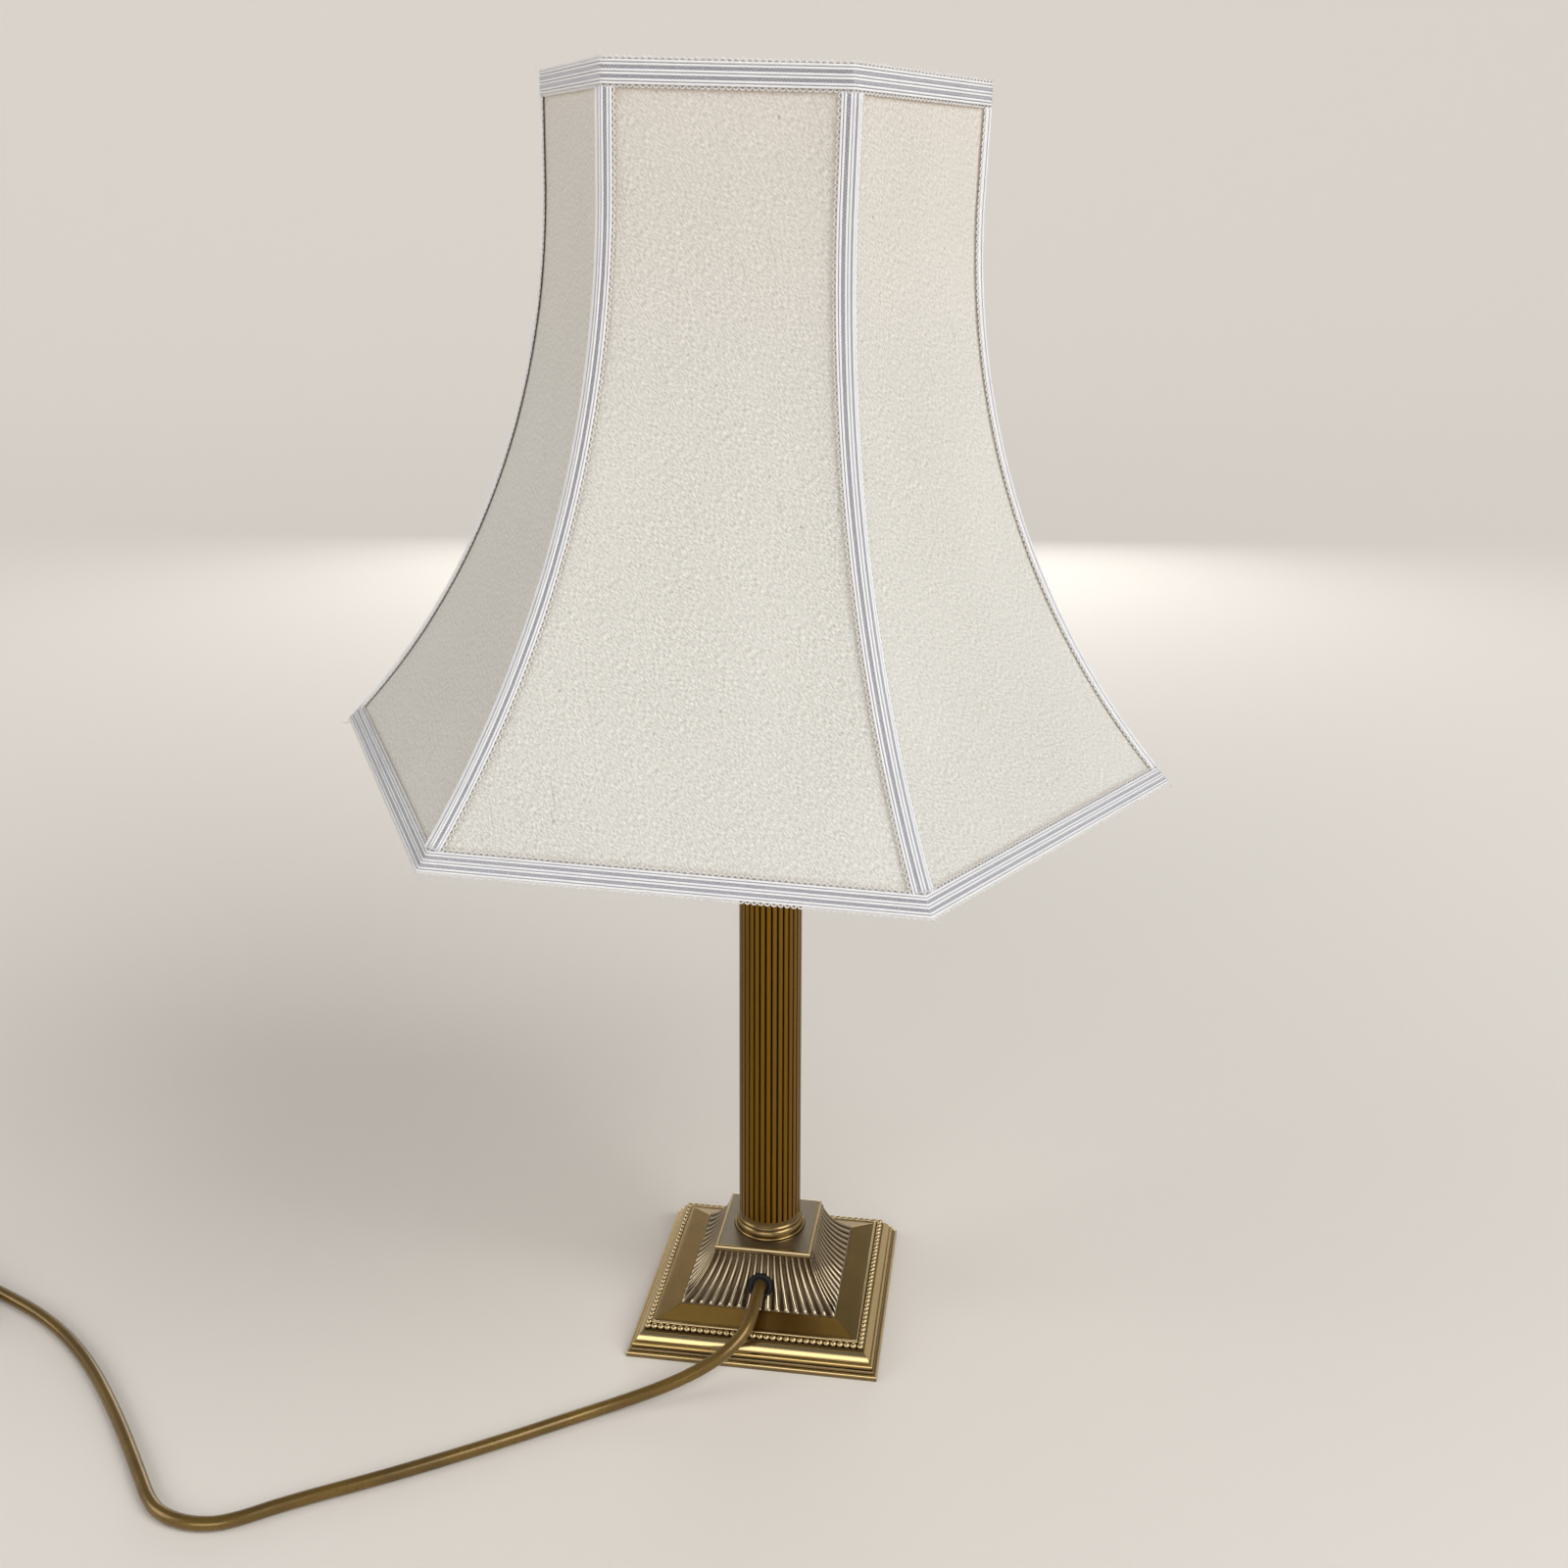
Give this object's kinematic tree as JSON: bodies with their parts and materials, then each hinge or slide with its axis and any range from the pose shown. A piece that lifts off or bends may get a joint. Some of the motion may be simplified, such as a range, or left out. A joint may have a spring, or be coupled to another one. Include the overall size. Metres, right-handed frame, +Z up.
{
  "type": "column table lamp",
  "caption": "Table lamp with a stepped square brass base, a reeded column and a bowed hexagonal fabric shade edged with braid.",
  "frame": {"origin": "middle of the base's underside, on the table", "axes": "+Z up the column, -Y towards the face of the pyramid that the cord comes out of, +X to the right of someone who looks at that face"},
  "size_m": [0.7041, 0.3972, 0.6191],
  "materials": {
    "brass": "antiqued, dark in the recesses",
    "bright_brass": "plain",
    "plated_steel": "plated",
    "iron": "as cast",
    "felt": "felt",
    "black_moulding": "satin",
    "solder": "dull",
    "opal_glass": "frosted",
    "shade_fabric": "slub silk",
    "lining_fabric": "satin",
    "braid": "gimp braid",
    "gold_flex": "gold sheath",
    "core_brown": "plain",
    "core_blue": "plain",
    "core_striped": "green and yellow",
    "tie": "plain"
  },
  "bodies": {
    "stand": {"base_casting": "brass", "base_felt": "felt", "base_plate": "plated_steel", "base_weight": "iron", "coil_ties": "tie", "column_capital": "brass", "column_collar": "brass", "column_shaft": "brass", "cord_clamp": "black_moulding", "cord_coil": "gold_flex", "cord_gland": "black_moulding", "cord_run": "gold_flex", "cord_tail": "gold_flex", "core_earth": "core_striped", "core_live": "core_brown", "core_neutral": "core_blue", "earth_terminal": "plated_steel", "lampholder_barrel": "bright_brass", "lampholder_cap": "bright_brass", "lampholder_insert": "black_moulding", "plate_screws": "plated_steel", "plug_body": "black_moulding", "plug_fuse_cover": "black_moulding", "plug_pins": "bright_brass", "plunger_spring_left": "plated_steel", "plunger_spring_right": "plated_steel", "rod_nut": "plated_steel", "rod_washer": "plated_steel", "terminal_screws": "bright_brass", "threaded_rod": "plated_steel"},
    "plunger_left": {"contact_plunger_left": "bright_brass"},
    "plunger_right": {"contact_plunger_right": "bright_brass"},
    "switch_bar": {"switch_bar": "black_moulding"},
    "bulb": {"bulb_cap": "bright_brass", "bulb_pins": "bright_brass", "bulb_contacts": "solder", "bulb_glass": "opal_glass"},
    "shade_ring": {"shade_ring_nut": "bright_brass"},
    "carrier": {"carrier_seat": "plated_steel", "carrier_arm_1": "plated_steel", "carrier_arm_2": "plated_steel", "carrier_arm_3": "plated_steel", "carrier_ring": "plated_steel"},
    "shade": {"shade_panel_1": "shade_fabric", "shade_panel_2": "shade_fabric", "shade_panel_3": "shade_fabric", "shade_panel_4": "shade_fabric", "shade_panel_5": "shade_fabric", "shade_panel_6": "shade_fabric", "shade_lining": "lining_fabric", "shade_frame": "plated_steel", "shade_spider": "plated_steel", "top_braid": "braid", "bottom_braid": "braid", "strut_braids": "braid"}
  },
  "joints": [
    {"name": "switch_bar_slide", "type": "slide", "parent": "stand", "child": "switch_bar", "axis": [1, 0, 0], "range_m": [0, 0.006]},
    {"name": "plunger_left_press", "type": "slide", "parent": "stand", "child": "plunger_left", "axis": [0, 0, -1], "range_m": [0, 0.0025], "stiffness_N_per_m": 900, "springref_m": -0.002, "deforming": ["plunger_spring_left"]},
    {"name": "plunger_right_press", "type": "slide", "parent": "stand", "child": "plunger_right", "axis": [0, 0, -1], "range_m": [0, 0.0025], "stiffness_N_per_m": 900, "springref_m": -0.002, "deforming": ["plunger_spring_right"]},
    {"name": "bulb_twist", "type": "hinge", "parent": "stand", "child": "bulb", "pos_m": [0, 0, 0.4], "axis": [0, 0, 1], "range_deg": [0, 16]},
    {"name": "shade_ring_turn", "type": "hinge", "parent": "stand", "child": "shade_ring", "pos_m": [0, 0, 0.391], "axis": [0, 0, 1], "continuous": true},
    {"name": "carrier_swivel", "type": "hinge", "parent": "stand", "child": "carrier", "pos_m": [0, 0, 0.387], "axis": [0, 0, 1], "continuous": true},
    {"name": "shade_lift", "type": "slide", "parent": "carrier", "child": "shade", "axis": [0, 0, 1], "range_m": [0, 0.26]}
  ]
}
